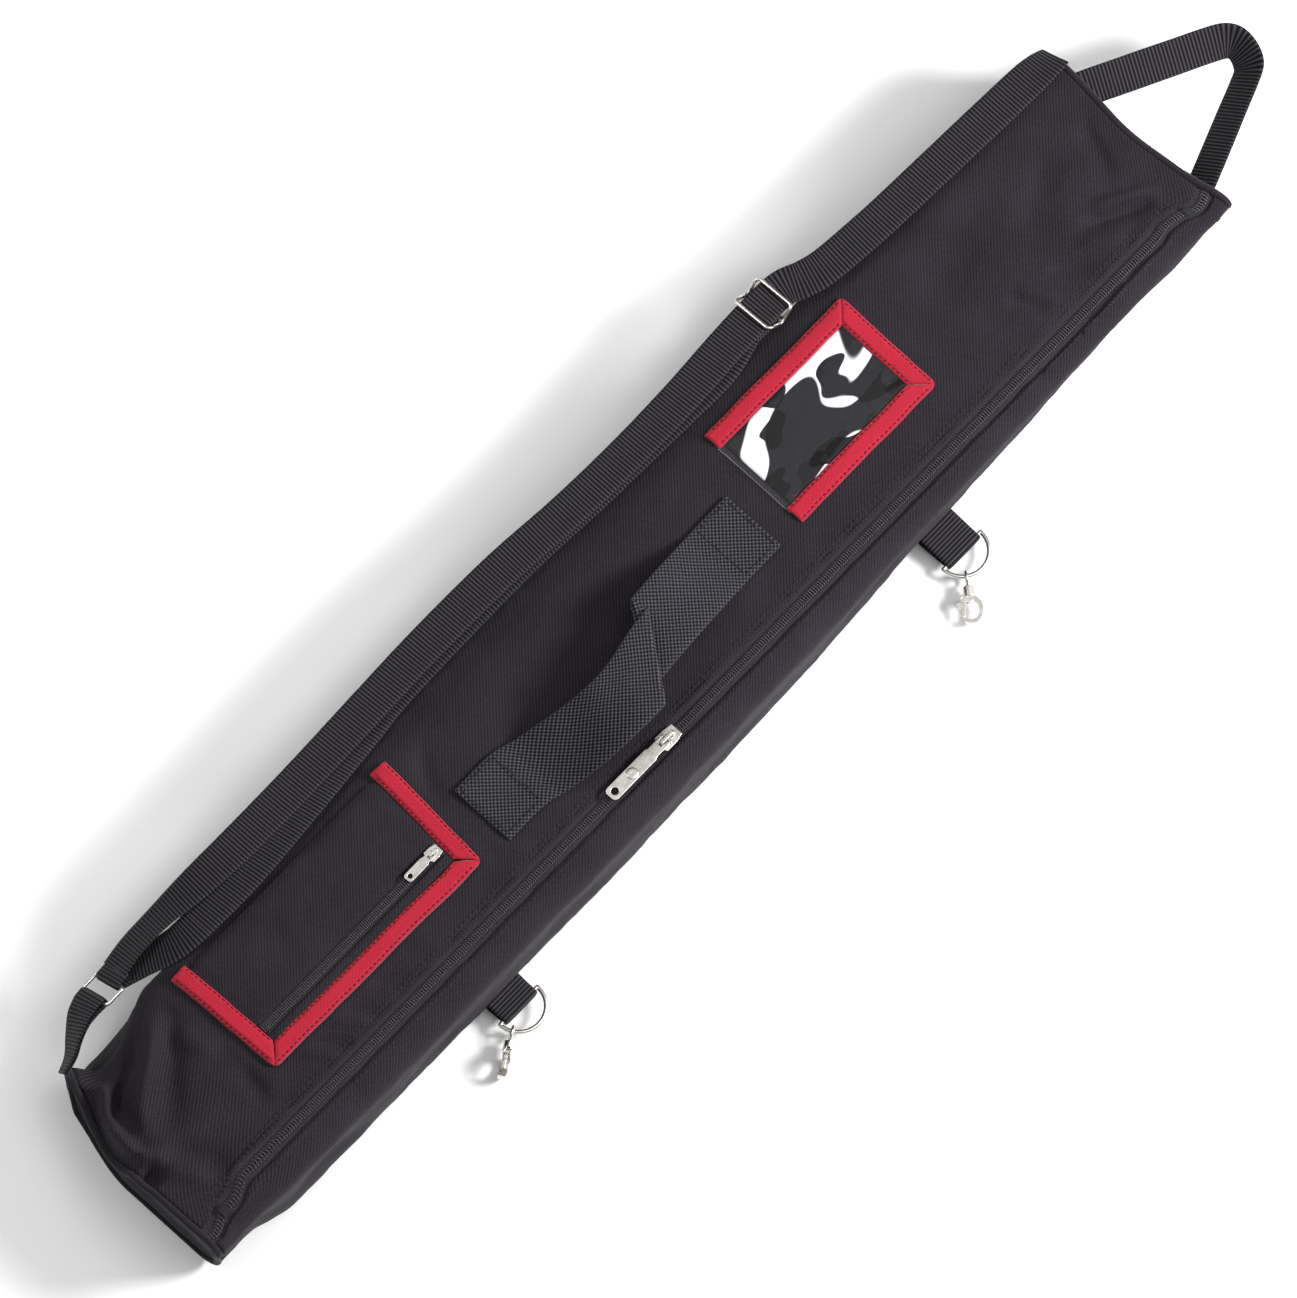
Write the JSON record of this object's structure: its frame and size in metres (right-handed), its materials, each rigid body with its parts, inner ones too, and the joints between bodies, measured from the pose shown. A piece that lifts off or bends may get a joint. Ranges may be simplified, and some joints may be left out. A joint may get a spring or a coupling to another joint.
{
  "type": "drum stick bag",
  "caption": "Long soft zippered bag for drum sticks with shoulder strap, carry handle, grab loop, zip pocket, card window and side snap hooks.",
  "frame": {"origin": "middle of the back panel's outer face, which the bag lies on", "axes": "+X along the bag to the grab loop end, +Y to the shoulder strap side, +Z out of the front panel"},
  "size_m": [0.8023, 0.1949, 0.075],
  "materials": {
    "body_cloth": "matt black twill-woven polyester",
    "piping": "black woven binding tape over cord",
    "zip_tape": "black woven zipper tape",
    "zip_coil": "black polyester coil",
    "nickel": "bright nickel plate",
    "red_binding": "crimson binding tape, double stitched",
    "clear_vinyl": "clear soft vinyl",
    "card_print": "printed card, white shapes on black",
    "handle_webbing": "coarse basket-weave webbing",
    "strap_webbing": "ribbed black webbing"
  },
  "bodies": {
    "bag": {"front_panel": "body_cloth", "back_panel": "body_cloth", "zip_side_gusset": "body_cloth", "strap_side_gusset": "body_cloth", "top_end_panel": "body_cloth", "bottom_end_panel": "body_cloth", "top_end_piping": "piping", "bottom_end_piping": "piping", "main_zip_tape_front": "zip_tape", "main_zip_tape_gusset": "zip_tape", "main_zip_coil_front": "zip_coil", "main_zip_coil_gusset": "zip_coil", "main_zip_stops": "zip_coil", "pocket_panel_large": "body_cloth", "pocket_panel_small": "body_cloth", "pocket_hem": "body_cloth", "pocket_binding": "red_binding", "pocket_zip_tape_large": "zip_tape", "pocket_zip_tape_small": "zip_tape", "pocket_zip_coil_large": "zip_coil", "pocket_zip_coil_small": "zip_coil", "window_binding": "red_binding", "window_sheet": "clear_vinyl", "carry_handle": "handle_webbing", "shoulder_strap": "strap_webbing", "strap_return": "strap_webbing", "strap_anchor_tab": "strap_webbing", "upper_side_tab": "strap_webbing", "lower_side_tab": "strap_webbing"},
    "main_slider": {"main_zip_slider": "nickel"},
    "main_pull": {"main_zip_pull": "nickel"},
    "pocket_slider": {"pocket_zip_slider": "nickel"},
    "pocket_pull": {"pocket_zip_pull": "nickel"},
    "card": {"insert_card": "card_print"},
    "adjuster": {"strap_adjuster": "nickel", "strap_end_fold": "strap_webbing"},
    "ring": {"strap_ring": "nickel", "strap_ring_fold": "strap_webbing"},
    "grab": {"grab_loop": "strap_webbing"},
    "upper_ring": {"upper_d_ring": "nickel"},
    "upper_eye": {"upper_swivel_eye": "nickel"},
    "upper_hook": {"upper_snap_hook": "nickel", "upper_hook_pin": "nickel"},
    "upper_lever": {"upper_hook_lever": "nickel"},
    "lower_ring": {"lower_d_ring": "nickel"},
    "lower_eye": {"lower_swivel_eye": "nickel"},
    "lower_hook": {"lower_snap_hook": "nickel", "lower_hook_pin": "nickel"},
    "lower_lever": {"lower_hook_lever": "nickel"}
  },
  "joints": [
    {"name": "main_zip_travel", "type": "slide", "parent": "bag", "child": "main_slider", "axis": [1, 0, 0], "range_m": [-0.29, 0.35]},
    {"name": "main_pull_swing", "type": "hinge", "parent": "main_slider", "child": "main_pull", "pos_m": [-0.033, -0.043, 0.06085], "axis": [0, 1, 0], "range_deg": [0, 170]},
    {"name": "pocket_zip_travel", "type": "slide", "parent": "bag", "child": "pocket_slider", "axis": [1, 0, 0], "range_m": [-0.118, 0.0005]},
    {"name": "pocket_pull_swing", "type": "hinge", "parent": "pocket_slider", "child": "pocket_pull", "pos_m": [-0.157, 0.0009, 0.06358], "axis": [0, 1, 0], "range_deg": [0, 170]},
    {"name": "card_slide", "type": "slide", "parent": "bag", "child": "card", "axis": [-1, 0, 0], "range_m": [0, 0.018]},
    {"name": "adjuster_travel", "type": "slide", "parent": "bag", "child": "adjuster", "axis": [-1, 0, 0], "range_m": [0, 0.36], "deforming": ["strap_return"]},
    {"name": "strap_ring_swing", "type": "hinge", "parent": "bag", "child": "ring", "pos_m": [-0.322, 0.078, 0.04], "axis": [0, 0.766, -0.6428], "range_deg": [-15, 15]},
    {"name": "grab_loop_swing", "type": "hinge", "parent": "bag", "child": "grab", "pos_m": [0.3649, 0.0015, 0.038], "axis": [0, 1, 0], "range_deg": [-55, 55]},
    {"name": "upper_d_ring_swing", "type": "hinge", "parent": "bag", "child": "upper_ring", "pos_m": [0.1515, -0.073, 0.0065], "axis": [1, 0, 0], "range_deg": [-60, 60]},
    {"name": "upper_hook_travel", "type": "hinge", "parent": "upper_ring", "child": "upper_eye", "pos_m": [0.1515, -0.073, 0.0065], "axis": [0, 0, -1], "range_deg": [-98, 22]},
    {"name": "upper_hook_swivel", "type": "hinge", "parent": "upper_eye", "child": "upper_hook", "pos_m": [0.1515, -0.073, 0.0065], "axis": [-0.6157, -0.788, 0], "continuous": true},
    {"name": "upper_hook_gate", "type": "hinge", "parent": "upper_hook", "child": "upper_lever", "pos_m": [0.13312, -0.091, 0.0065], "axis": [0, 0, 1], "range_deg": [0, 20], "stiffness_Nm_per_rad": 0.02, "springref_deg": -11.46},
    {"name": "lower_d_ring_swing", "type": "hinge", "parent": "bag", "child": "lower_ring", "pos_m": [-0.1735, -0.073, 0.0065], "axis": [1, 0, 0], "range_deg": [-60, 60]},
    {"name": "lower_hook_travel", "type": "hinge", "parent": "lower_ring", "child": "lower_eye", "pos_m": [-0.1735, -0.073, 0.0065], "axis": [0, 0, -1], "range_deg": [-120, 0]},
    {"name": "lower_hook_swivel", "type": "hinge", "parent": "lower_eye", "child": "lower_hook", "pos_m": [-0.1735, -0.073, 0.0065], "axis": [-0.866, -0.5, 0], "continuous": true},
    {"name": "lower_hook_gate", "type": "hinge", "parent": "lower_hook", "child": "lower_lever", "pos_m": [-0.19558, -0.08575, 0.0099], "axis": [0.5, -0.866, 0], "range_deg": [0, 20], "stiffness_Nm_per_rad": 0.02, "springref_deg": -11.46}
  ]
}
